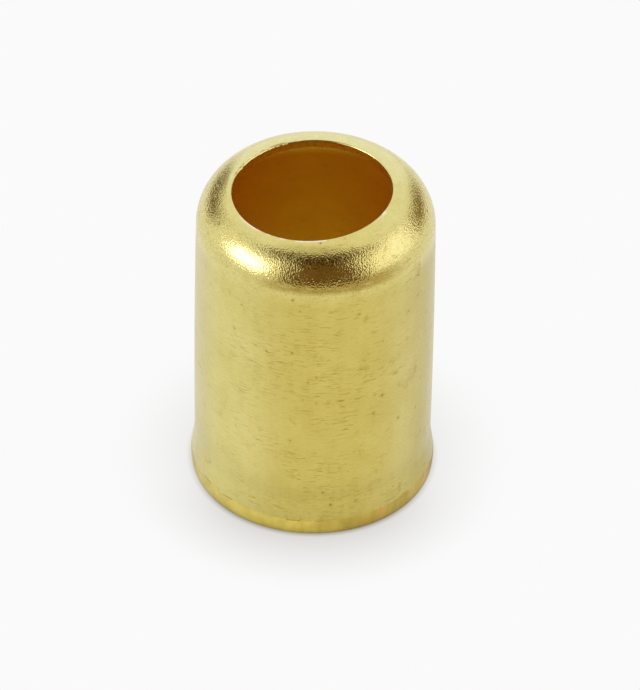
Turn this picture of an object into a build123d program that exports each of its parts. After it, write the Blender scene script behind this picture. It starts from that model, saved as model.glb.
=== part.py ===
from build123d import *
import os

# Brass leg ferrule, in millimetres.
# A cup drawn from one brass blank: it stands on its open mouth at z = 0, its axis is +Z,
# and its rounded crown is pierced at the top.

# Tube
overall_height = 25.4
leg_bore = 15.88
wall = 0.73
foot_fullness = 0.035
belly_fullness = 0.08
belly_height = 10.0

# Flared mouth
flare = 0.265
flare_height = 2.9
lip_height = 0.8
lip_turn_in = 0.06
flare_blend = 6.0

# Crown
shoulder_radius = 3.22
shoulder_turn = 78.0

# Hole punched through the crown, a little off the axis
crown_hole_diameter = 11.4
crown_hole_offset_x = -0.29
crown_hole_offset_y = -0.21
crown_hole_round = 0.12

# Radii and heights that follow from the sizes above
bore_radius = leg_bore / 2
shell_radius = bore_radius + wall
foot_radius = shell_radius + foot_fullness
belly_radius = shell_radius + belly_fullness
mouth_radius = foot_radius + flare
mouth_bore_radius = bore_radius + flare
hole_centre = Vector(crown_hole_offset_x, crown_hole_offset_y)
crest_radius = crown_hole_diameter / 2 - hole_centre.length + crown_hole_round

# The crest lies where the hole comes nearest to the axis. It is at the overall height,
# and the shoulder begins below it by the rise of its arc and of the shallow cone above it.
shoulder_arc = JernArc((shell_radius, 0), (0, 1), shoulder_radius, shoulder_turn, mode=Mode.PRIVATE)
crown_slope = (shoulder_arc % 1).Y / -(shoulder_arc % 1).X
crown_rise = (shoulder_arc @ 1).Y + ((shoulder_arc @ 1).X - crest_radius) * crown_slope
shoulder_height = overall_height - crown_rise


# Shoulder arc and shallow cone up to the axis, for one face of the shell
def crown_face(radius):
    start = (shell_radius - shoulder_radius + radius, shoulder_height)
    end = JernArc(start, (0, 1), radius, shoulder_turn) @ 1
    tip = (0, end.Y + end.X * crown_slope)
    Line(end, tip)
    return tip


with BuildPart() as ferrule:
    # Half section, with the axis at X = 0
    with BuildSketch(Plane.XZ) as section:
        with BuildLine():
            outer_tip = crown_face(shoulder_radius)
            inner_tip = crown_face(shoulder_radius - wall)
            Line(outer_tip, inner_tip)

            # Outside, from the crown down to the lip
            ThreePointArc(
                (shell_radius, shoulder_height),
                (belly_radius, belly_height),
                (foot_radius, flare_height),
            )
            Line((foot_radius, flare_height), (mouth_radius, lip_height))
            TangentArc(
                (mouth_radius, lip_height),
                (mouth_radius - lip_turn_in, 0),
                tangent=(0, -1),
            )

            # Rim, then the flared mouth and the leg's socket inside
            Polyline(
                (mouth_radius - lip_turn_in, 0),
                (mouth_bore_radius, 0),
                (bore_radius, flare_height),
                (bore_radius, shoulder_height),
            )
        make_face()
        fillet(
            section.vertices().filter_by_position(Axis.Y, flare_height, flare_height),
            radius=flare_blend,
        )
    revolve(axis=Axis.Z)

    # Crown hole
    with BuildSketch(Plane.XY.offset(shoulder_height)):
        with Locations(hole_centre):
            Circle(crown_hole_diameter / 2)
    extrude(amount=overall_height, mode=Mode.SUBTRACT)

    # Softened edge around the hole
    hole_edge = ferrule.edges().group_by(Axis.Z)[-1]
    fillet(hole_edge, radius=crown_hole_round)

ferrule.part.label = "ferrule"

os.makedirs("parts", exist_ok=True)
export_step(ferrule.part, "parts/ferrule.step")
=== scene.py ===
import math
import bpy
from mathutils import Matrix, Vector


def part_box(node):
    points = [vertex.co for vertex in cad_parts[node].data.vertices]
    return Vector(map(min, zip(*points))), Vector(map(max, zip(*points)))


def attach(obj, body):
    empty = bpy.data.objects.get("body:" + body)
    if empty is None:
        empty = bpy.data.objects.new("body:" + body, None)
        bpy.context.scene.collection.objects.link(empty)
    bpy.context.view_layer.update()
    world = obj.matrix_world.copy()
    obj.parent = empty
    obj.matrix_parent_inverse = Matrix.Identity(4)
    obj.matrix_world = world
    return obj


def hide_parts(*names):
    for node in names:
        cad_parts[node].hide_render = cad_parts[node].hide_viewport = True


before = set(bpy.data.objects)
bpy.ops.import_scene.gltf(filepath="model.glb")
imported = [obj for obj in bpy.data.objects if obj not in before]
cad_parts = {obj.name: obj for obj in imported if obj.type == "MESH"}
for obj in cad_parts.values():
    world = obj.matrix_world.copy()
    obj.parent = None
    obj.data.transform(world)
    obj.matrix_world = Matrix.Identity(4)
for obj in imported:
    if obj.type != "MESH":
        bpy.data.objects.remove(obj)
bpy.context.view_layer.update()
print("frame loaded")

mm = 0.001
micron = 0.000001


# small helpers for node trees

def addNode(tree, kind, inputs=None, **settings):
    node = tree.nodes.new(kind)
    for name, value in settings.items():
        setattr(node, name, value)
    for name, value in (inputs or {}).items():
        fillSocket(tree, node.inputs[name], value)
    return node


def fillSocket(tree, socket, value):
    if isinstance(value, bpy.types.NodeSocket):
        tree.links.new(value, socket)
    else:
        socket.default_value = value


def calc(tree, operation, *values):
    return addNode(tree, "ShaderNodeMath", dict(enumerate(values)), operation=operation).outputs[0]


def times(tree, first, *others):
    for other in others:
        first = calc(tree, "MULTIPLY", first, other)
    return first


def plus(tree, first, second):
    return calc(tree, "ADD", first, second)


def minus(tree, first, second):
    return calc(tree, "SUBTRACT", first, second)


def vectorCalc(tree, operation, first, second=(0.0, 0.0, 0.0)):
    return addNode(tree, "ShaderNodeVectorMath", {0: first, 1: second}, operation=operation).outputs


def scaled(tree, vector, factor):
    return addNode(tree, "ShaderNodeVectorMath", {0: vector, "Scale": factor}, operation="SCALE").outputs[0]


def axesOf(tree, vector):
    return addNode(tree, "ShaderNodeSeparateXYZ", {0: vector}).outputs


def vectorOf(tree, **axes):
    return addNode(tree, "ShaderNodeCombineXYZ", axes).outputs[0]


def ramp(tree, value, start, end, low=0.0, high=1.0, easing="SMOOTHSTEP"):
    sockets = {"Value": value, "From Min": start, "From Max": end, "To Min": low, "To Max": high}
    return addNode(tree, "ShaderNodeMapRange", sockets, interpolation_type=easing).outputs[0]


def mixColor(tree, factor, first, second, blend="MIX"):
    node = addNode(tree, "ShaderNodeMix", data_type="RGBA", blend_type=blend)
    fillSocket(tree, node.inputs[0], factor)
    fillSocket(tree, node.inputs[6], first)
    fillSocket(tree, node.inputs[7], second)
    return node.outputs[2]


def newGroup(name, kind, inputs, outputs):
    group = bpy.data.node_groups.new(name, kind)
    for title, socketType, value in inputs:
        socket = group.interface.new_socket(title, in_out="INPUT", socket_type=socketType)
        if value is not None:
            socket.default_value = value
    for title, socketType in outputs:
        group.interface.new_socket(title, in_out="OUTPUT", socket_type=socketType)
    source = group.nodes.new("NodeGroupInput")
    target = group.nodes.new("NodeGroupOutput")
    return group, source.outputs, target.inputs


def useGroup(tree, group, inputs):
    node = tree.nodes.new("ShaderNodeGroup")
    node.node_tree = group
    for name, value in inputs.items():
        fillSocket(tree, node.inputs[name], value)
    return node.outputs


# camera, at the photo's viewing angle

cameraView = {
    "aim": (0.45 * mm, -1.0 * mm, 11.39 * mm),
    "distance": 563.5 * mm,
    "elevation": 40.22,
    "lean": 0.96,
    "lens": 402.6,
    "sensor": 36.0,
    "clip": (0.01, 100.0),
}


def makeCamera(values):
    camera = bpy.data.objects.new("photoCamera", bpy.data.cameras.new("photoCamera"))
    bpy.context.scene.collection.objects.link(camera)
    camera.data.lens = values["lens"]
    camera.data.sensor_width = values["sensor"]
    camera.data.clip_start, camera.data.clip_end = values["clip"]
    rise = math.radians(values["elevation"])
    back = Vector((0.0, -math.cos(rise), math.sin(rise)))
    turn = back.to_track_quat("Z", "Y").to_matrix().to_4x4()
    lean = Matrix.Rotation(math.radians(values["lean"]), 4, "Z")
    place = Matrix.Translation(Vector(values["aim"]) + back * values["distance"])
    camera.matrix_world = place @ turn @ lean
    bpy.context.scene.camera = camera
    bpy.context.scene.view_settings.view_transform = "Standard"


makeCamera(cameraView)
print("camera set")


# light: a white studio all round, with soft panels that brighten or darken it

# in degrees, and azimuth 0 is the camera's
panelSizes = ("Azimuth", "Elevation", "Half Width", "Half Height", "Edge")

studioLight = {
    "surround": (0.95, 0.95, 0.95, 1.0),
    "panels": [
        (-70, 18, 28, 24, 9, (1.15, 1.15, 1.2, 1.0)),    # left softbox
        (-68, 20, 17, 13, 6, (4.2, 4.2, 4.3, 1.0)),      # its lamp behind the cloth
        (87, 26, 32, 22, 9, (1.4, 1.4, 1.55, 1.0)),      # right softbox
        (180, 14, 22, 18, 6, (1.06, 1.1, 1.35, 1.0)),    # back wall
        (8, 36, 38, 37, 4, (0.19, 0.105, 0.035, 1.0)),   # dark room in front
        (3, 67, 84, 13, 8, (0.22, 0.17, 0.13, 1.0)),     # hood above the camera
        (0, 90, 200, 14, 8, (0.72, 0.70, 0.66, 1.0)),    # ceiling
        (-140, 9, 19, 16, 6, (0.22, 0.16, 0.08, 1.0)),   # gap, back left
        (132, 10, 19, 16, 6, (0.30, 0.22, 0.12, 1.0)),   # gap, back right
    ],
}


def makePanelGroup():
    # a soft-edged rectangle on the sky
    inputs = [("Direction", "NodeSocketVector", None)]
    inputs += [(name, "NodeSocketFloat", 0.0) for name in panelSizes]
    group, given, result = newGroup("lightPanel", "ShaderNodeTree", inputs, [("Mask", "NodeSocketFloat")])
    axes = axesOf(group, given["Direction"])
    ahead = times(group, axes["Y"], -1.0)
    bearing = calc(group, "DEGREES", calc(group, "ARCTAN2", axes["X"], ahead))
    height = calc(group, "DEGREES", calc(group, "ARCSINE", axes["Z"]))
    aside = calc(group, "WRAP", minus(group, bearing, given["Azimuth"]), 180.0, -180.0)
    above = minus(group, height, given["Elevation"])
    inside = []
    for offset, half in ((aside, given["Half Width"]), (above, given["Half Height"])):
        outer = plus(group, half, given["Edge"])
        inner = minus(group, half, given["Edge"])
        inside.append(ramp(group, calc(group, "ABSOLUTE", offset), outer, inner))
    group.links.new(times(group, *inside), result["Mask"])
    return group


def makeWorld(values):
    world = bpy.data.worlds.new("whiteStudio")
    bpy.context.scene.world = world
    world.use_nodes = True
    tree = world.node_tree
    tree.nodes.clear()
    direction = addNode(tree, "ShaderNodeTexCoord").outputs["Generated"]
    panelGroup = makePanelGroup()
    light = values["surround"]
    for *sizes, gain in values["panels"]:
        inputs = {"Direction": direction, **dict(zip(panelSizes, sizes))}
        mask = useGroup(tree, panelGroup, inputs)["Mask"]
        light = mixColor(tree, mask, light, gain, blend="MULTIPLY")
    sky = addNode(tree, "ShaderNodeBackground", {"Color": light, "Strength": 1.0})
    addNode(tree, "ShaderNodeOutputWorld", {"Surface": sky.outputs[0]})


makeWorld(studioLight)
print("studio light set")


# floor: white paper glowing an even white, with the ferrule's contact shadow and the shade inside the tube
# painted into its colour from ambient occlusion

floorLook = {
    "size": 40.0,
    "color": (0.956, 0.956, 0.956, 1.0),
    "shadowColor": (0.34, 0.305, 0.23, 1.0),
    "shadowReach": 6.5 * mm,
    "shadowSamples": 24,
    "sideShadow": 0.42,
    "sideEnd": -0.2,
    "frontStart": -0.95,
    "contactColor": (0.16, 0.12, 0.05, 1.0),
    "contactReach": 0.45 * mm,
    "contactSamples": 12,
    "enclosedShadeColor": (0.42, 0.41, 0.38, 1.0),
    "enclosedReach": 30 * mm,
    "enclosedSamples": 16,
    "enclosedSky": 0.1,
    "clearSky": 0.4,
}


def openSky(tree, reach, samples):
    # how much of the sky the paper sees within a distance
    return addNode(tree, "ShaderNodeAmbientOcclusion", {"Distance": reach}, samples=samples).outputs["AO"]


def makeFloor(values):
    material = bpy.data.materials.new("whitePaper")
    material.use_nodes = True
    tree = material.node_tree
    tree.nodes.clear()
    near = openSky(tree, values["shadowReach"], values["shadowSamples"])
    wide = openSky(tree, values["enclosedReach"], values["enclosedSamples"])
    contact = openSky(tree, values["contactReach"], values["contactSamples"])

    # the painted shadow is lighter at both sides, where the softboxes would light the paper, and deepest in
    # front
    position = addNode(tree, "ShaderNodeTexCoord").outputs["Object"]
    ahead = axesOf(tree, vectorCalc(tree, "NORMALIZE", position)[0])["Y"]
    depth = ramp(tree, ahead, values["sideEnd"], values["frontStart"], values["sideShadow"], 1.0)
    shaded = times(tree, minus(tree, 1.0, near), depth)
    color = mixColor(tree, shaded, values["color"], values["shadowColor"])
    touching = times(tree, minus(tree, 1.0, contact), depth)
    color = mixColor(tree, touching, color, values["contactColor"])
    # painted shade: the paper inside the tube, which sees little of the sky, is darkened
    clear = ramp(tree, wide, values["enclosedSky"], values["clearSky"])
    color = mixColor(tree, clear, values["enclosedShadeColor"], color)
    paper = addNode(tree, "ShaderNodeEmission", {"Color": color, "Strength": 1.0})
    addNode(tree, "ShaderNodeOutputMaterial", {"Surface": paper.outputs[0]})

    # one large triangle, so that no seam runs across the paper
    size = values["size"]
    halfSide = 0.87 * size
    mesh = bpy.data.meshes.new("paperFloor")
    corners = [(0, size, 0), (-halfSide, -size / 2, 0), (halfSide, -size / 2, 0)]
    mesh.from_pydata(corners, [], [(0, 1, 2)])
    mesh.materials.append(material)
    floor = bpy.data.objects.new("paperFloor", mesh)
    bpy.context.scene.collection.objects.link(floor)


makeFloor(floorLook)
print("floor laid")


# shader groups shared by the brass finishes

def noiseAt(tree, vector, scale, seed, detail=2.0, roughness=0.55):
    sockets = {"Vector": vector, "W": seed, "Scale": scale, "Detail": detail, "Roughness": roughness}
    return addNode(tree, "ShaderNodeTexNoise", sockets, noise_dimensions="4D").outputs["Fac"]


def wobble(tree, vector, scale, distance):
    # shifts the place that a pattern is read at, so its lines bend and its dots aren't round
    noise = addNode(tree, "ShaderNodeTexNoise", {"Vector": vector, "Scale": scale, "Detail": 1.0})
    shift = vectorCalc(tree, "SUBTRACT", noise.outputs["Color"], (0.5, 0.5, 0.5))[0]
    return vectorCalc(tree, "ADD", vector, scaled(tree, shift, distance))[0]


def makeStrokeGroup():
    # noise drawn out into strokes, by the size of a stroke along each axis
    waveLength = 0.9 * mm
    softness = 0.08
    inputs = [
        ("Vector", "NodeSocketVector", None),
        ("Size", "NodeSocketVector", (0.001, 0.001, 0.0001)),
        ("Threshold", "NodeSocketFloat", 0.6),
        ("Detail", "NodeSocketFloat", 2.0),
        ("Waviness", "NodeSocketFloat", 0.0),
        ("Seed", "NodeSocketFloat", 0.0),
    ]
    outputs = [("Height", "NodeSocketFloat"), ("Mask", "NodeSocketFloat")]
    group, given, result = newGroup("drawnStrokes", "ShaderNodeTree", inputs, outputs)
    wavy = wobble(group, given["Vector"], 1.0 / waveLength, given["Waviness"])
    stretched = vectorCalc(group, "DIVIDE", wavy, given["Size"])[0]
    noise = noiseAt(group, stretched, 1.0, given["Seed"], given["Detail"])
    group.links.new(noise, result["Height"])
    edge = plus(group, given["Threshold"], softness)
    group.links.new(ramp(group, noise, given["Threshold"], edge), result["Mask"])
    return group


def makePitGroup():
    # scattered small ragged pits: a share of the cells holds one each
    raggedness, raggedReach = 0.7, 3.0
    smallest, largest = 0.5, 1.5
    core, haloReach = 0.4, 2.5
    inputs = [
        ("Vector", "NodeSocketVector", None),
        ("Spacing", "NodeSocketFloat", 0.0005),
        ("Radius", "NodeSocketFloat", 0.0001),
        ("Share", "NodeSocketFloat", 0.1),
        ("Seed", "NodeSocketVector", (0.0, 0.0, 0.0)),
    ]
    outputs = [("Mask", "NodeSocketFloat"), ("Halo", "NodeSocketFloat")]
    group, given, result = newGroup("scatteredPits", "ShaderNodeTree", inputs, outputs)
    scale = calc(group, "DIVIDE", 1.0, given["Spacing"])
    moved = vectorCalc(group, "ADD", given["Vector"], given["Seed"])[0]
    finer = calc(group, "DIVIDE", raggedness, given["Radius"])
    moved = wobble(group, moved, finer, times(group, given["Radius"], raggedReach))
    cells = addNode(group, "ShaderNodeTexVoronoi", {"Vector": moved, "Scale": scale}).outputs
    distance = times(group, cells["Distance"], given["Spacing"])
    chance = addNode(group, "ShaderNodeSeparateColor", {0: cells["Color"]}).outputs
    kept = calc(group, "LESS_THAN", chance[0], given["Share"])
    size = ramp(group, chance[1], 0.0, 1.0, smallest, largest, "LINEAR")
    size = times(group, given["Radius"], size)
    dot = ramp(group, distance, size, times(group, size, core))
    halo = ramp(group, distance, times(group, size, haloReach), size)
    group.links.new(times(group, dot, kept), result["Mask"])
    group.links.new(times(group, halo, kept), result["Halo"])
    return group


def makeTarnishGroup():
    # broad clouds of tarnish, and smudges about a third of their size
    smudgeFineness = 3.3
    cloudRange, smudgeRange = (0.35, 0.66), (0.56, 0.74)
    inputs = [
        ("Vector", "NodeSocketVector", None),
        ("Size", "NodeSocketFloat", 0.003),
        ("Seed", "NodeSocketFloat", 0.0),
    ]
    outputs = [("Cloud", "NodeSocketFloat"), ("Smudge", "NodeSocketFloat")]
    group, given, result = newGroup("cloudyTarnish", "ShaderNodeTree", inputs, outputs)
    scale = calc(group, "DIVIDE", 1.0, given["Size"])
    cloud = noiseAt(group, given["Vector"], scale, given["Seed"], 3.0)
    finer = times(group, scale, smudgeFineness)
    smudge = noiseAt(group, given["Vector"], finer, given["Seed"], 4.0, 0.65)
    group.links.new(ramp(group, cloud, *cloudRange), result["Cloud"])
    group.links.new(ramp(group, smudge, *smudgeRange), result["Smudge"])
    return group


strokeGroup = makeStrokeGroup()
pitGroup = makePitGroup()
tarnishGroup = makeTarnishGroup()


def startMaterial(name):
    material = bpy.data.materials.new(name)
    material.use_nodes = True
    tree = material.node_tree
    tree.nodes.clear()
    shader = addNode(tree, "ShaderNodeBsdfPrincipled", {"Metallic": 1.0})
    addNode(tree, "ShaderNodeOutputMaterial", {"Surface": shader.outputs[0]})
    position = addNode(tree, "ShaderNodeTexCoord").outputs["Object"]
    return material, tree, shader, position


def tint(tree, mask, amount, color, tintColor):
    return mixColor(tree, times(tree, mask, amount), color, tintColor, blend="MULTIPLY")


def addRelief(tree, shader, height, depth):
    bump = addNode(tree, "ShaderNodeBump", {"Height": height, "Distance": depth, "Strength": 1.0})
    fillSocket(tree, shader.inputs["Normal"], bump.outputs[0])


# outside finish: satin wall, grainy shoulder, smoother crown and a golden lip, with painted reflections, a
# painted highlight and painted shade in the brass's colour

# a reach is how far a mask goes round from its side, as the cosines where it starts and is full;
# a range is the part of a noise pattern that shows

outsideFinish = {
    # brass, by the side that it faces: painted reflections make it paler on the left, more golden in front,
    # greyer at the sides and yellower at the far right, and the paler crown colour is a painted highlight
    "leftPaintedReflectionColor": (0.73, 0.645, 0.235, 1.0),
    "rightPaintedReflectionColor": (0.665, 0.575, 0.205, 1.0),
    "frontPaintedReflectionColor": (0.66, 0.539, 0.144, 1.0),
    "frontSide": (0.16, -0.987, 0.0),
    "frontReach": (0.71, 0.995),
    "rightSide": (1.0, 0.0, 0.0),
    "rightReach": (-0.6, 0.6),
    "sidePaintedReflectionTint": (0.90, 0.90, 0.95, 1.0),
    "sideReach": (0.75, 1.0),
    "farRightPaintedReflectionTint": (0.93, 0.90, 0.72, 1.0),
    "farRightReach": (0.72, 0.95),
    "crownPaintedHighlightColor": (0.80, 0.72, 0.29, 1.0),
    "crownFrontPaintedReflectionTint": (0.97, 0.93, 0.80, 1.0),
    "crownFrom": 25.15 * mm,
    "crownClean": 0.75,

    # tarnish, smudges, and a brown ring that is partly stain and partly painted dark reflection
    "tarnishTint": (0.92, 0.905, 0.80, 1.0),
    "tarnishSize": 3.2 * mm,
    "tarnishAmount": 0.7,
    "tarnishSeed": 2.0,
    "bandSize": (0.9 * mm, 0.9 * mm, 25 * mm),
    "bandRange": (0.3, 0.7),
    "bandAmount": 0.3,
    "bandSeed": 8.0,
    "smudgeTint": (0.83, 0.78, 0.62, 1.0),
    "smudgeAmount": 0.85,
    "brownTint": (0.56, 0.45, 0.28, 1.0),
    "stainAndShadeHeight": 23.0 * mm,
    "stainAndShadeSpread": 0.75 * mm,
    "stainAndShadeCore": 0.3,
    "stainAndShadeReach": (0.7, 0.98),
    "stainAndShadeElsewhere": 0.08,
    "stainAndShadeSize": (1.2 * mm, 1.2 * mm, 0.3 * mm),
    "stainAndShadeRange": (0.15, 0.5),
    "stainAndShadeAmount": 0.9,
    "stainAndShadeSeed": 14.0,

    # strokes, scratches and pits
    "strokeTint": (0.84, 0.81, 0.72, 1.0),
    "strokeSize": (0.4 * mm, 0.4 * mm, 0.15 * mm),
    "strokeRange": (0.35, 0.65),
    "strokeAmount": 0.28,
    "strokeSeed": 5.0,
    "scratchTint": (0.66, 0.58, 0.40, 1.0),
    "scratchSize": (0.9 * mm, 0.9 * mm, 0.085 * mm),
    "scratchThreshold": 0.57,
    "scratchWaviness": 0.35 * mm,
    "scratchSeed": 6.0,
    "scratchPatch": 3.6 * mm,
    "scratchPatchSeed": 4.0,
    "scratchReach": (0.3, 0.8),
    "scratchElsewhere": 0.3,
    "scratchAmount": 0.9,
    "pitTint": (0.42, 0.33, 0.20, 1.0),
    "pitSpacing": 0.6 * mm,
    "pitRadius": 0.1 * mm,
    "pitShare": 0.07,
    "pitSeed": (0.01, 0.0, 0.0),
    "pitAmount": 0.9,
    "pitHalo": 0.5,

    # lip: its tints are painted reflection of the shadowed floor by the base
    "lipGoldenReflectionColor": (0.95, 0.765, 0.167, 1.0),
    "lipReach": (0.0, 0.8),
    "lipFresh": 0.85,
    "lipWorn": 0.45,
    "lipShadeTint": (0.91, 0.90, 0.85, 1.0),
    "lipMarkTint": (0.82, 0.80, 0.62, 1.0),
    "lipMarkSize": 1.1 * mm,
    "lipMarkAmount": 0.7,
    "lipMarkSeed": 16.0,
    "lipDarkShadeTint": (0.79, 0.73, 0.71, 1.0),
    "lipDarkShadeReach": (0.3, 0.9),
    "lipTop": 1.22 * mm,
    "lipEdge": 0.09 * mm,
    "lipWander": 0.7 * mm,
    "lipWave": 2.5 * mm,
    "lipWaveSeed": 12.0,
    "lipRagged": 0.5 * mm,
    "lipRaggedShare": 0.4,
    "lipRaggedSeed": 18.0,
    "lineSide": (-0.6, -0.8, 0.0),
    "lineReach": (0.6, 0.85),
    "lineWidth": 0.06 * mm,
    "lineLength": 1.4 * mm,
    "lineRange": (0.46, 0.54),
    "lineAmount": 0.8,
    "lineSeed": 15.0,
    "copperSide": (0.85, -0.53, 0.0),
    "copperReach": (0.2, 0.7),
    "copperColor": (0.76, 0.42, 0.13, 1.0),
    "copperSpacing": 1.0 * mm,
    "copperRadius": 0.3 * mm,
    "copperShare": 0.5,
    "copperSeed": (0.05, 0.0, 0.0),

    # edge of the crown hole
    # a painted highlight along the front edge of the hole
    "paintedGleamColor": (1.0, 0.87, 0.62, 1.0),
    "gleamFrom": 0.1 * mm,
    "gleamTo": 0.34 * mm,
    "gleamReach": (0.1, 0.7),
    "gleamSize": 1.3 * mm,
    "gleamRange": (0.48, 0.58),
    "gleamSeed": 19.0,
    "tornSide": (-0.75, 0.66, 0.0),
    "tornReach": (0.82, 0.92),
    "tornAt": 0.14 * mm,
    "tornWidth": 0.12 * mm,
    "tornCore": 0.3,
    "tornSize": 0.9 * mm,
    "tornRange": (0.42, 0.6),
    "tornSeed": 13.0,
    "tornTint": (0.60, 0.42, 0.26, 1.0),
    "tornAmount": 0.9,
    "nick": (0.36 * mm, -6.15 * mm, 25.25 * mm),
    "nickRadius": 0.11 * mm,
    "nickCore": 0.4,

    # grain and gloss
    "grainFrom": 20.9 * mm,
    "grainFull": 22.9 * mm,
    "grainTo": 24.85 * mm,
    "grainSize": (0.115 * mm, 0.115 * mm, 0.115 * mm),
    "grainSeed": 3.0,
    "grainDepth": 18 * micron,
    "grainCoarser": 0.6,
    "wallGrain": 0.12,
    "crownWorn": 0.8,
    "strokeRelief": 0.06,
    "scratchRelief": 0.12,
    "pitRelief": 0.4,
    # painted shade specks over the shoulder's grain
    "speckShadeTint": (0.62, 0.52, 0.36, 1.0),
    "speckSize": (0.09 * mm, 0.09 * mm, 0.09 * mm),
    "speckRange": (0.45, 0.7),
    "speckAmount": 0.6,
    "speckSeed": 17.0,
    "wallRoughness": 0.27,
    "crownRoughness": 0.16,
    "lipRoughness": 0.42,
    "smudgeRoughness": 0.08,
}


def towards(tree, around, side, reach, low=0.0):
    # mask of the part of the ferrule that faces one side
    facing = vectorCalc(tree, "DOT_PRODUCT", around, side)["Value"]
    return ramp(tree, facing, *reach, low)


def findPlaces(tree, position, values):
    # the regions of the outside, as masks
    axes = axesOf(tree, position)
    around = vectorCalc(tree, "NORMALIZE", vectorOf(tree, X=axes["X"], Y=axes["Y"]))[0]
    across = calc(tree, "ABSOLUTE", axesOf(tree, around)["X"])
    top = ramp(tree, axes["Z"], values["grainTo"], values["crownFrom"])
    return {
        "position": position,
        "height": axes["Z"],
        "around": around,
        "shoulder": ramp(tree, axes["Z"], values["grainFrom"], values["grainFull"]),
        "top": top,
        "dirty": minus(tree, 1.0, times(tree, top, values["crownClean"])),
        "front": towards(tree, around, values["frontSide"], values["frontReach"]),
        "sides": ramp(tree, across, *values["sideReach"]),
    }


def brassToneWithPaintedLight(tree, place, values):
    # painted reflections and highlight: pale brass, paler on the left, more golden in front, greyer at the
    # sides and yellower at the far right, standing in for what it reflects there; paler again on the
    # shoulder as a painted highlight, and duller on the shoulder's front
    around = place["around"]
    toRight = towards(tree, around, values["rightSide"], values["rightReach"])
    color = mixColor(tree, toRight, values["leftPaintedReflectionColor"], values["rightPaintedReflectionColor"])
    color = mixColor(tree, place["front"], color, values["frontPaintedReflectionColor"])
    color = tint(tree, place["sides"], 1.0, color, values["sidePaintedReflectionTint"])
    farRight = towards(tree, around, values["rightSide"], values["farRightReach"])
    color = tint(tree, farRight, 1.0, color, values["farRightPaintedReflectionTint"])
    crown = tint(tree, place["front"], 1.0, values["crownPaintedHighlightColor"], values["crownFrontPaintedReflectionTint"])
    return mixColor(tree, place["shoulder"], color, crown)


def addWear(tree, place, values, color):
    position, around, dirty = place["position"], place["around"], place["dirty"]
    tarnish = useGroup(tree, tarnishGroup, {
        "Vector": position, "Size": values["tarnishSize"], "Seed": values["tarnishSeed"]})
    cloud = times(tree, tarnish["Cloud"], dirty)
    color = tint(tree, cloud, values["tarnishAmount"], color, values["tarnishTint"])

    # tone that changes round the tube in upright bands, as it came through the die
    bands = useGroup(tree, strokeGroup, {
        "Vector": position, "Size": values["bandSize"], "Seed": values["bandSeed"]})
    bands = ramp(tree, bands["Height"], *values["bandRange"])
    color = tint(tree, bands, values["bandAmount"], color, values["tarnishTint"])

    # faint short strokes everywhere, and sharper scratches in patches
    strokes = useGroup(tree, strokeGroup, {
        "Vector": position, "Size": values["strokeSize"], "Seed": values["strokeSeed"]})
    faint = ramp(tree, strokes["Height"], *values["strokeRange"])
    color = tint(tree, faint, values["strokeAmount"], color, values["strokeTint"])
    scratches = useGroup(tree, strokeGroup, {
        "Vector": position, "Size": values["scratchSize"], "Threshold": values["scratchThreshold"],
        "Waviness": values["scratchWaviness"], "Seed": values["scratchSeed"]})
    patches = useGroup(tree, tarnishGroup, {
        "Vector": position, "Size": values["scratchPatch"], "Seed": values["scratchPatchSeed"]})
    inFront = towards(
        tree, around, values["frontSide"], values["scratchReach"], values["scratchElsewhere"])
    scratched = times(tree, patches["Cloud"], inFront, scratches["Mask"])
    color = tint(tree, scratched, values["scratchAmount"], color, values["scratchTint"])

    # brown smudges, and a brown ring below the shoulder, strongest in front, that is partly stain and
    # partly painted dark reflection carrying the shoulder's dark band lower
    smudge = times(tree, tarnish["Smudge"], dirty)
    color = tint(tree, smudge, values["smudgeAmount"], color, values["smudgeTint"])
    ring = calc(tree, "ABSOLUTE", minus(tree, place["height"], values["stainAndShadeHeight"]))
    ring = ramp(tree, ring, values["stainAndShadeSpread"], values["stainAndShadeSpread"] * values["stainAndShadeCore"])
    stain = useGroup(tree, strokeGroup, {
        "Vector": position, "Size": values["stainAndShadeSize"], "Seed": values["stainAndShadeSeed"]})
    stainedAndShaded = times(
        tree, ring, ramp(tree, stain["Height"], *values["stainAndShadeRange"]),
        towards(tree, around, values["frontSide"], values["stainAndShadeReach"], values["stainAndShadeElsewhere"]))
    color = tint(tree, stainedAndShaded, values["stainAndShadeAmount"], color, values["brownTint"])

    pits = useGroup(tree, pitGroup, {
        "Vector": position, "Spacing": values["pitSpacing"], "Radius": values["pitRadius"],
        "Share": values["pitShare"], "Seed": values["pitSeed"]})
    pitted = times(tree, pits["Mask"], dirty)
    color = tint(tree, times(tree, pits["Halo"], dirty), values["pitHalo"], color, values["smudgeTint"])
    color = tint(tree, pitted, values["pitAmount"], color, values["pitTint"])
    wear = {"smudge": tarnish["Smudge"], "strokes": strokes["Height"], "patches": patches["Cloud"],
            "scratched": scratched, "pitted": pitted}
    return color, wear


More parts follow.
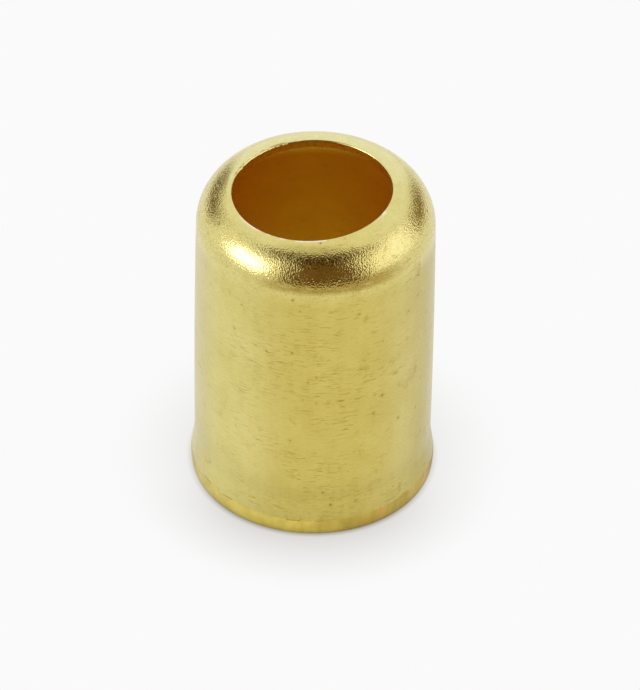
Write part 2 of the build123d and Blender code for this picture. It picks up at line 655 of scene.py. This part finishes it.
def addLip(tree, place, values, color, patches):
    # a band with a wandering upper edge; its tint is painted reflection of the shadowed floor by the base:
    # darker all round, golden in front in patches, and darker again on one side
    position, around = place["position"], place["around"]
    wander = noiseAt(tree, position, 1.0 / values["lipWave"], values["lipWaveSeed"])
    ragged = noiseAt(tree, position, 1.0 / values["lipRagged"], values["lipRaggedSeed"])
    ragged = times(tree, minus(tree, ragged, 0.5), values["lipRaggedShare"])
    wander = times(tree, plus(tree, minus(tree, wander, 0.5), ragged), values["lipWander"])
    over = minus(tree, minus(tree, place["height"], wander), values["lipTop"])
    lip = ramp(tree, over, values["lipEdge"], -values["lipEdge"])
    color = tint(tree, lip, 1.0, color, values["lipShadeTint"])
    golden = times(tree, lip, towards(tree, around, values["frontSide"], values["lipReach"]))
    worn = ramp(tree, patches, 0.0, 1.0, values["lipFresh"], values["lipWorn"], "LINEAR")
    color = mixColor(tree, times(tree, golden, worn), color, values["lipGoldenReflectionColor"])
    marks = useGroup(tree, tarnishGroup, {
        "Vector": position, "Size": values["lipMarkSize"], "Seed": values["lipMarkSeed"]})
    marked = times(tree, lip, marks["Cloud"])
    color = tint(tree, marked, values["lipMarkAmount"], color, values["lipMarkTint"])
    darker = times(tree, lip, towards(tree, around, values["copperSide"], values["lipDarkShadeReach"]))
    color = tint(tree, darker, 1.0, color, values["lipDarkShadeTint"])

    # a broken dark line along its top on one side, and copper specks on the other
    line = ramp(tree, calc(tree, "ABSOLUTE", over), values["lineWidth"], 0.0)
    broken = noiseAt(tree, position, 1.0 / values["lineLength"], values["lineSeed"])
    broken = ramp(tree, broken, *values["lineRange"])
    line = times(tree, line, broken, towards(tree, around, values["lineSide"], values["lineReach"]))
    color = tint(tree, line, values["lineAmount"], color, values["pitTint"])
    specks = useGroup(tree, pitGroup, {
        "Vector": position, "Spacing": values["copperSpacing"], "Radius": values["copperRadius"],
        "Share": values["copperShare"], "Seed": values["copperSeed"]})
    copper = times(tree, lip, towards(tree, around, values["copperSide"], values["copperReach"]))
    color = mixColor(tree, times(tree, specks["Mask"], copper), color, values["copperColor"])
    return color, lip


def addHoleEdge(tree, place, values, color):
    # painted highlight: pale patches along the front edge of the crown hole
    position, around = place["position"], place["around"]
    fromHole = addNode(tree, "ShaderNodeAttribute", attribute_name="fromHole").outputs["Fac"]
    patchy = noiseAt(tree, position, 1.0 / values["gleamSize"], values["gleamSeed"])
    gleam = times(
        tree, ramp(tree, fromHole, values["gleamTo"], values["gleamFrom"]), place["top"],
        towards(tree, around, values["frontSide"], values["gleamReach"]),
        ramp(tree, patchy, *values["gleamRange"]))
    color = mixColor(tree, gleam, color, values["paintedGleamColor"])

    # a torn line behind the burr, and a nick in front
    torn = calc(tree, "ABSOLUTE", minus(tree, fromHole, values["tornAt"]))
    jagged = noiseAt(tree, position, 1.0 / values["tornSize"], values["tornSeed"], 4.0)
    torn = times(
        tree, ramp(tree, torn, values["tornWidth"], values["tornWidth"] * values["tornCore"]),
        towards(tree, around, values["tornSide"], values["tornReach"]),
        ramp(tree, jagged, *values["tornRange"]))
    color = tint(tree, torn, values["tornAmount"], color, values["tornTint"])
    fromNick = vectorCalc(tree, "DISTANCE", position, values["nick"])["Value"]
    nick = ramp(tree, fromNick, values["nickRadius"], values["nickRadius"] * values["nickCore"])
    color = tint(tree, nick, values["pitAmount"], color, values["pitTint"])
    return color, torn


def makeOutsideMaterial(values):
    material, tree, shader, position = startMaterial("drawnBrass")
    place = findPlaces(tree, position, values)
    color = brassToneWithPaintedLight(tree, place, values)
    color, wear = addWear(tree, place, values, color)
    color, lip = addLip(tree, place, values, color, wear["patches"])
    color, torn = addHoleEdge(tree, place, values, color)

    # painted shade: dark specks over the shoulder's grain, standing in for the shade between its tiny
    # facets; fewer on the crown, where the grain is burnished away
    unworn = minus(tree, 1.0, times(tree, place["top"], values["crownWorn"]))
    grainy = times(tree, place["shoulder"], unworn)
    specks = useGroup(tree, strokeGroup, {
        "Vector": position, "Size": values["speckSize"], "Detail": 1.0, "Seed": values["speckSeed"]})
    paintedShadeSpecks = times(tree, ramp(tree, specks["Height"], *values["speckRange"]), grainy)
    color = tint(tree, paintedShadeSpecks, values["speckAmount"], color, values["speckShadeTint"])
    fillSocket(tree, shader.inputs["Base Color"], color)

    wallGloss, crownGloss = values["wallRoughness"], values["crownRoughness"]
    roughness = ramp(tree, place["shoulder"], 0.0, 1.0, wallGloss, crownGloss, "LINEAR")
    roughness = plus(tree, roughness, times(tree, wear["smudge"], values["smudgeRoughness"]))
    roughness = plus(tree, roughness, times(tree, lip, values["lipRoughness"] - wallGloss))
    fillSocket(tree, shader.inputs["Roughness"], roughness)

    # relief, in parts of the grain's depth
    grain = useGroup(tree, strokeGroup, {
        "Vector": position, "Size": values["grainSize"], "Detail": 0.0, "Seed": values["grainSeed"]})
    coarse = times(tree, plus(tree, place["front"], place["sides"]), values["grainCoarser"])
    strength = times(tree, grainy, plus(tree, 1.0, coarse), 1.0 - values["wallGrain"])
    relief = times(tree, grain["Height"], plus(tree, strength, values["wallGrain"]))
    relief = plus(tree, relief, times(tree, wear["strokes"], values["strokeRelief"]))
    relief = minus(tree, relief, times(tree, wear["scratched"], values["scratchRelief"]))
    deepest = calc(tree, "MAXIMUM", wear["pitted"], torn)
    relief = minus(tree, relief, times(tree, deepest, values["pitRelief"]))
    addRelief(tree, shader, relief, values["grainDepth"])
    return material


# inside finish: dull orange oxide

boreFinish = {
    "color": (0.865, 0.487, 0.012, 1.0),
    "brownTint": (0.80, 0.72, 0.60, 1.0),
    "tarnishSize": 2.6 * mm,
    "tarnishAmount": 0.3,
    "tarnishSeed": 7.0,
    "markSize": (1.2 * mm, 1.2 * mm, 0.2 * mm),
    "markThreshold": 0.62,
    "markAmount": 0.5,
    "markSeed": 9.0,
    "roughness": 0.45,
    "depth": 10 * micron,
}


def makeBoreMaterial(values):
    material, tree, shader, position = startMaterial("oxidisedBore")
    tarnish = useGroup(tree, tarnishGroup, {
        "Vector": position, "Size": values["tarnishSize"], "Seed": values["tarnishSeed"]})
    marks = useGroup(tree, strokeGroup, {
        "Vector": position, "Size": values["markSize"], "Threshold": values["markThreshold"],
        "Seed": values["markSeed"]})
    color = tint(tree, tarnish["Cloud"], values["tarnishAmount"], values["color"], values["brownTint"])
    color = tint(tree, marks["Mask"], values["markAmount"], color, values["brownTint"])
    fillSocket(tree, shader.inputs["Base Color"], color)
    shader.inputs["Roughness"].default_value = values["roughness"]
    addRelief(tree, shader, marks["Height"], values["depth"])
    return material


# cut faces: the punched hole and the trimmed rim

cutFinish = {
    "color": (0.88, 0.57, 0.04, 1.0),
    "burnTint": (0.86, 0.76, 0.62, 1.0),
    "tearSize": (0.3 * mm, 0.3 * mm, 0.3 * mm),
    "tearThreshold": 0.5,
    "tearAmount": 0.8,
    "tearSeed": 4.0,
    "roughness": 0.35,
    "depth": 20 * micron,
}


def makeCutMaterial(values):
    material, tree, shader, position = startMaterial("shearedBrass")
    tears = useGroup(tree, strokeGroup, {
        "Vector": position, "Size": values["tearSize"], "Threshold": values["tearThreshold"],
        "Seed": values["tearSeed"]})
    color = tint(tree, tears["Mask"], values["tearAmount"], values["color"], values["burnTint"])
    fillSocket(tree, shader.inputs["Base Color"], color)
    shader.inputs["Roughness"].default_value = values["roughness"]
    addRelief(tree, shader, tears["Height"], values["depth"])
    return material


outsideMaterial = makeOutsideMaterial(outsideFinish)
boreMaterial = makeBoreMaterial(boreFinish)
cutMaterial = makeCutMaterial(cutFinish)
print("brass finishes made")


# the ferrule's form: one half section, turned round the axis by geometry nodes

ferruleShape = {
    "wall": 0.73 * mm,
    "footFullness": 0.035 * mm,
    "bellyFullness": 0.08 * mm,
    "bellyHeight": 10.0 * mm,
    "flare": 0.265 * mm,
    "flareHeight": 2.9 * mm,
    "flareBlend": 0.37 * mm,
    "lipHeight": 0.8 * mm,
    "lipTurnIn": 0.06 * mm,
    "shoulderRadius": 3.22 * mm,
    "shoulderTurn": 78.0,
    "holeRadius": 5.7 * mm,
    "holeShift": (-0.29 * mm, -0.21 * mm),
    "holeOval": 0.0243,
    "holeOvalTurn": 32.0,
    "holeRound": 0.12 * mm,
    "edgeRound": 0.04 * mm,
    "warpReach": 1.6 * mm,
    "burrDepth": 0.07 * mm,
    "burrReach": 0.35 * mm,
    "burrMiddle": 133.0,
    "burrSpread": 36.0,
    "dentDepth": 0.012 * mm,
    "dentSize": 3.5 * mm,
    "stepsAround": 600,
    "seed": 11,
}

sectionSteps = {
    "cut": 5, "holeRound": 8, "crown": 6, "shoulder": 34, "wall": 22, "blend": 5, "flare": 5, "lip": 8,
    "corner": 4, "rim": 3, "mouth": 8, "bore": 14, "innerShoulder": 20, "innerCrown": 4,
}

zones = {"outside": 0.0, "cut": 1.0, "bore": 2.0}


def arcPoints(centre, radius, start, end, steps):
    angles = [math.radians(start + (end - start) * i / steps) for i in range(steps + 1)]
    return [(centre[0] + radius * math.cos(a), centre[1] + radius * math.sin(a)) for a in angles]


def between(start, end, steps):
    return [start + (end - start) * i / steps for i in range(steps + 1)]


def bend(height, corner, blend):
    # 0 above the corner, rising in a straight line below it, with a rounded start
    below = corner - height
    if abs(below) < blend:
        return (below + blend) ** 2 / (4 * blend)
    return max(below, 0.0)


def sectionPoints(values, steps):
    # the closed outline as (radius, height, zone), and the centre of the shoulder's arc
    low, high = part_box("ferrule")
    wall = values["wall"]
    mouthRadius = (high[0] - low[0]) / 2
    footRadius = mouthRadius - values["flare"]
    shellRadius = footRadius - values["footFullness"]
    boreRadius = shellRadius - wall
    radius = values["shoulderRadius"]
    turn = math.radians(values["shoulderTurn"])
    slope = 1 / math.tan(turn)
    centre = shellRadius - radius
    hole, soft = values["holeRadius"], values["holeRound"]
    crest = hole - Vector(values["holeShift"]).length + soft
    endRadius = centre + radius * math.cos(turn)
    rise = radius * math.sin(turn) + (endRadius - crest) * slope
    shoulder = high[2] - rise
    foot, belly, blend = values["flareHeight"], values["bellyHeight"], values["flareBlend"]
    lipHeight, turnIn, tiny = values["lipHeight"], values["lipTurnIn"], values["edgeRound"]
    lipRadius = (lipHeight ** 2 + turnIn ** 2) / (2 * turnIn)
    lipEnd = mouthRadius - turnIn
    mouthBore = boreRadius + values["flare"]
    outerSlope = values["flare"] / (foot - lipHeight)
    innerSlope = values["flare"] / foot

    def shellAt(height):
        # smooth curve through the shoulder, the belly and the foot
        first = (height - foot) * (height - shoulder) / ((belly - foot) * (belly - shoulder))
        second = (height - belly) * (height - shoulder) / ((foot - belly) * (foot - shoulder))
        return shellRadius + first * values["bellyFullness"] + second * values["footFullness"]

    def outerAt(height):
        full = shellAt(height) if height > foot else footRadius
        return min(full + outerSlope * bend(height, foot, blend), mouthRadius)

    def lipAt(height):
        return mouthRadius - lipRadius + math.sqrt(lipRadius ** 2 - (lipHeight - height) ** 2)

    def innerAt(height):
        return boreRadius + innerSlope * bend(height, foot, blend)

    def crownAt(distance, offset):
        # height of the shallow cone, offset inwards by the wall where that is wanted
        inner = radius - offset
        return shoulder + inner * math.sin(turn) + (centre + inner * math.cos(turn) - distance) * slope

    under = crownAt(hole, wall)
    edgeCentre = (hole + soft, crownAt(hole + soft, 0.0) - soft / math.sin(turn))
    cut = [(hole, under + (edgeCentre[1] - under) * t) for t in between(0.0, 1.0, steps["cut"])][:-1]

    outside = arcPoints(edgeCentre, soft, 180.0, values["shoulderTurn"], steps["holeRound"])
    outside += [(r, crownAt(r, 0.0)) for r in between(outside[-1][0], endRadius, steps["crown"])][1:-1]
    outside += arcPoints((centre, shoulder), radius, values["shoulderTurn"], 0.0, steps["shoulder"])
    outside += [(outerAt(z), z) for z in between(shoulder, foot + blend, steps["wall"])][1:]
    outside += [(outerAt(z), z) for z in between(foot + blend, foot - blend, steps["blend"])][1:]
    outside += [(outerAt(z), z) for z in between(foot - blend, lipHeight, steps["flare"])][1:]
    outside += [(lipAt(z), z) for z in between(lipHeight, tiny, steps["lip"])][1:]

    rim = arcPoints((lipEnd - tiny, tiny), tiny, 0.0, -90.0, steps["corner"])[1:]
    rim += [(r, 0.0) for r in between(lipEnd - tiny, mouthBore + tiny, steps["rim"])][1:-1]
    rim += arcPoints((mouthBore + tiny, tiny), tiny, -90.0, -180.0, steps["corner"])

    bore = [(innerAt(z), z) for z in between(tiny, foot + blend, steps["mouth"])][1:]
    bore += [(boreRadius, z) for z in between(foot + blend, shoulder, steps["bore"])][1:]
    bore += arcPoints(
        (centre, shoulder), radius - wall, 0.0, values["shoulderTurn"], steps["innerShoulder"])[1:]
    bore += [(r, crownAt(r, wall)) for r in between(bore[-1][0], hole, steps["innerCrown"])][1:]

    chain = []
    for zone, points in (("cut", cut), ("outside", outside), ("cut", rim), ("bore", bore)):
        chain += [(r, z, zones[zone]) for r, z in points]
    return chain, centre, shoulder


def makeSectionObject(chain):
    mesh = bpy.data.meshes.new("ferruleSection")
    mesh.from_pydata([(r, 0.0, z) for r, z, zone in chain], [(i, i + 1) for i in range(len(chain) - 1)], [])
    zoneValues = mesh.attributes.new("zone", "FLOAT", "POINT")
    for i, (r, z, zone) in enumerate(chain):
        zoneValues.data[i].value = zone
    section = bpy.data.objects.new("ferruleSection", mesh)
    bpy.context.scene.collection.objects.link(section)
    return section


def sampleAt(tree, geometry, value, index, dataType):
    sockets = {"Geometry": geometry, "Value": value, "Index": index}
    node = addNode(tree, "GeometryNodeSampleIndex", sockets, data_type=dataType, domain="POINT")
    return node.outputs["Value"]


def storeFloat(tree, geometry, name, value):
    sockets = {"Geometry": geometry, "Name": name, "Value": value}
    node = addNode(tree, "GeometryNodeStoreNamedAttribute", sockets, data_type="FLOAT", domain="POINT")
    return node.outputs["Geometry"]


def namedFloat(tree, name):
    node = addNode(tree, "GeometryNodeInputNamedAttribute", {"Name": name}, data_type="FLOAT")
    return node.outputs["Attribute"]


def changeMesh(tree, kind, geometry, **inputs):
    # the first socket of these nodes takes the geometry
    node = addNode(tree, kind, {0: geometry, **inputs})
    return node.outputs[0]


turnedInputs = {
    "NodeSocketGeometry": ["Geometry"],
    "NodeSocketObject": ["Section"],
    "NodeSocketInt": ["Section Points", "Steps Around", "Seed"],
    "NodeSocketFloat": [
        "Hole Radius", "Hole Shift X", "Hole Shift Y", "Hole Oval", "Oval Turn", "Warp Reach",
        "Burr Depth", "Burr Reach", "Burr Middle", "Burr Spread",
        "Shoulder Centre", "Shoulder Radius", "Shoulder Height", "Dent Depth", "Dent Size",
    ],
    "NodeSocketMaterial": ["Outside", "Bore", "Cut"],
}


def makeTurnedTree():
    burrCore, jagsAround, jagRange = 0.6, 9.0, (0.4, 0.7)
    leastOut, leastSquare = 0.67 * mm, 0.1 * mm * mm
    mergeDistance = 0.5 * micron
    cutStart, boreStart = 0.4, 1.6
    inputs = [(name, kind, None) for kind, names in turnedInputs.items() for name in names]
    outputs = [("Geometry", "NodeSocketGeometry")]
    tree, given, result = newGroup("turnedShell", "GeometryNodeTree", inputs, outputs)

    # one column of points for each step round, one row for each point of the section
    rows = given["Section Points"]
    grid = addNode(tree, "GeometryNodeMeshGrid", {
        "Vertices X": plus(tree, given["Steps Around"], 1.0), "Vertices Y": rows}).outputs["Mesh"]
    index = addNode(tree, "GeometryNodeInputIndex").outputs[0]
    row = calc(tree, "MODULO", index, rows)
    column = calc(tree, "FLOOR", calc(tree, "DIVIDE", plus(tree, index, 0.5), rows))
    outline = addNode(tree, "GeometryNodeObjectInfo", {"Object": given["Section"]}).outputs["Geometry"]
    here = addNode(tree, "GeometryNodeInputPosition").outputs[0]
    spot = axesOf(tree, sampleAt(tree, outline, here, row, "FLOAT_VECTOR"))
    grid = storeFloat(tree, grid, "zone", sampleAt(tree, outline, namedFloat(tree, "zone"), row, "FLOAT"))
    fromHole = minus(tree, spot["X"], given["Hole Radius"])
    grid = storeFloat(tree, grid, "fromHole", fromHole)
    angle = times(tree, calc(tree, "DIVIDE", column, given["Steps Around"]), math.tau)
    cosine = calc(tree, "COSINE", angle)
    sine = calc(tree, "SINE", angle)

    # near the hole the crown is drawn towards the hole's own centre and oval
    near = plus(tree, given["Hole Radius"], given["Warp Reach"])
    onCrown = calc(tree, "GREATER_THAN", spot["Z"], given["Shoulder Height"])
    pull = times(tree, ramp(tree, spot["X"], near, given["Hole Radius"]), onCrown)
    shiftX = times(tree, given["Hole Shift X"], cosine)
    shiftY = times(tree, given["Hole Shift Y"], sine)
    twice = times(tree, minus(tree, angle, given["Oval Turn"]), 2.0)
    oval = times(tree, given["Hole Oval"], given["Hole Radius"], calc(tree, "COSINE", twice))
    move = times(tree, pull, plus(tree, plus(tree, shiftX, shiftY), oval))

    # ragged burr that leans over the hole on one side
    away = calc(tree, "ABSOLUTE", minus(tree, angle, given["Burr Middle"]))
    side = ramp(tree, away, given["Burr Spread"], times(tree, given["Burr Spread"], burrCore))
    ridge = ramp(tree, fromHole, given["Burr Reach"], 0.0)
    jag = noiseAt(tree, vectorOf(tree, X=times(tree, angle, jagsAround)), 1.0, given["Seed"], 3.0, 0.5)
    jag = ramp(tree, jag, *jagRange)
    burr = times(tree, side, ridge, jag, times(tree, onCrown, given["Burr Depth"]))
    move = minus(tree, move, burr)

    # what moves sideways there follows the slope of the crown
    out = calc(tree, "MAXIMUM", minus(tree, spot["X"], given["Shoulder Centre"]), leastOut)
    square = minus(tree, calc(tree, "POWER", given["Shoulder Radius"], 2.0), calc(tree, "POWER", out, 2.0))
    slope = calc(tree, "DIVIDE", out, calc(tree, "SQRT", calc(tree, "MAXIMUM", square, leastSquare)))
    height = minus(tree, spot["Z"], times(tree, move, slope))
    level = vectorOf(tree, Z=height)

    # shallow dents, always inwards
    around = vectorOf(tree, X=cosine, Y=sine)
    place = vectorCalc(tree, "ADD", scaled(tree, around, spot["X"]), level)[0]
    dentScale = calc(tree, "DIVIDE", 1.0, given["Dent Size"])
    noise = addNode(tree, "ShaderNodeTexNoise", {
        "Vector": place, "W": given["Seed"], "Scale": dentScale, "Detail": 1.0}, noise_dimensions="4D")
    dent = times(tree, given["Dent Depth"], noise.outputs["Fac"])
    radius = minus(tree, plus(tree, spot["X"], move), dent)
    place = vectorCalc(tree, "ADD", scaled(tree, around, radius), level)[0]

    shell = changeMesh(tree, "GeometryNodeSetPosition", grid, Position=place)
    shell = changeMesh(tree, "GeometryNodeMergeByDistance", shell, Distance=mergeDistance)
    shell = changeMesh(tree, "GeometryNodeFlipFaces", shell)  # the grid turns its faces inwards
    shell = changeMesh(tree, "GeometryNodeSetShadeSmooth", shell)
    shell = changeMesh(tree, "GeometryNodeRealizeInstances", shell)
    zone = namedFloat(tree, "zone")
    isCut = calc(tree, "GREATER_THAN", zone, cutStart)
    isBore = calc(tree, "GREATER_THAN", zone, boreStart)
    shell = changeMesh(tree, "GeometryNodeSetMaterial", shell, Material=given["Outside"])
    shell = changeMesh(tree, "GeometryNodeSetMaterial", shell, Selection=isCut, Material=given["Cut"])
    shell = changeMesh(tree, "GeometryNodeSetMaterial", shell, Selection=isBore, Material=given["Bore"])
    tree.links.new(shell, result["Geometry"])
    return tree


def makeFerrule(values):
    chain, centre, shoulder = sectionPoints(values, sectionSteps)
    section = makeSectionObject(chain)
    carrier = bpy.data.objects.new("shellCarrier", bpy.data.meshes.new("shellCarrier"))
    bpy.context.scene.collection.objects.link(carrier)
    modifier = carrier.modifiers.new("turnedShell", "NODES")
    modifier.node_group = makeTurnedTree()
    inputs = {
        "Section": section,
        "Section Points": len(chain),
        "Steps Around": values["stepsAround"],
        "Seed": values["seed"],
        "Hole Radius": values["holeRadius"],
        "Hole Shift X": values["holeShift"][0],
        "Hole Shift Y": values["holeShift"][1],
        "Hole Oval": values["holeOval"],
        "Oval Turn": math.radians(values["holeOvalTurn"]),
        "Warp Reach": values["warpReach"],
        "Burr Depth": values["burrDepth"],
        "Burr Reach": values["burrReach"],
        "Burr Middle": math.radians(values["burrMiddle"]),
        "Burr Spread": math.radians(values["burrSpread"]),
        "Shoulder Centre": centre,
        "Shoulder Radius": values["shoulderRadius"],
        "Shoulder Height": shoulder,
        "Dent Depth": values["dentDepth"],
        "Dent Size": values["dentSize"],
        "Outside": outsideMaterial,
        "Bore": boreMaterial,
        "Cut": cutMaterial,
    }
    for item in modifier.node_group.interface.items_tree:
        if item.in_out == "INPUT" and item.name in inputs:
            modifier[item.identifier] = inputs[item.name]
    scene = bpy.context.evaluated_depsgraph_get()
    mesh = bpy.data.meshes.new_from_object(carrier.evaluated_get(scene), depsgraph=scene)
    carrier.modifiers.remove(modifier)
    bpy.data.objects.remove(carrier)
    bpy.data.objects.remove(section)
    mesh.name = "brassFerrule"
    ferrule = bpy.data.objects.new("brassFerrule", mesh)
    bpy.context.scene.collection.objects.link(ferrule)
    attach(ferrule, "root")
    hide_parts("ferrule")
    return ferrule


ferrule = makeFerrule(ferruleShape)
print("ferrule turned:", len(ferrule.data.polygons), "faces")
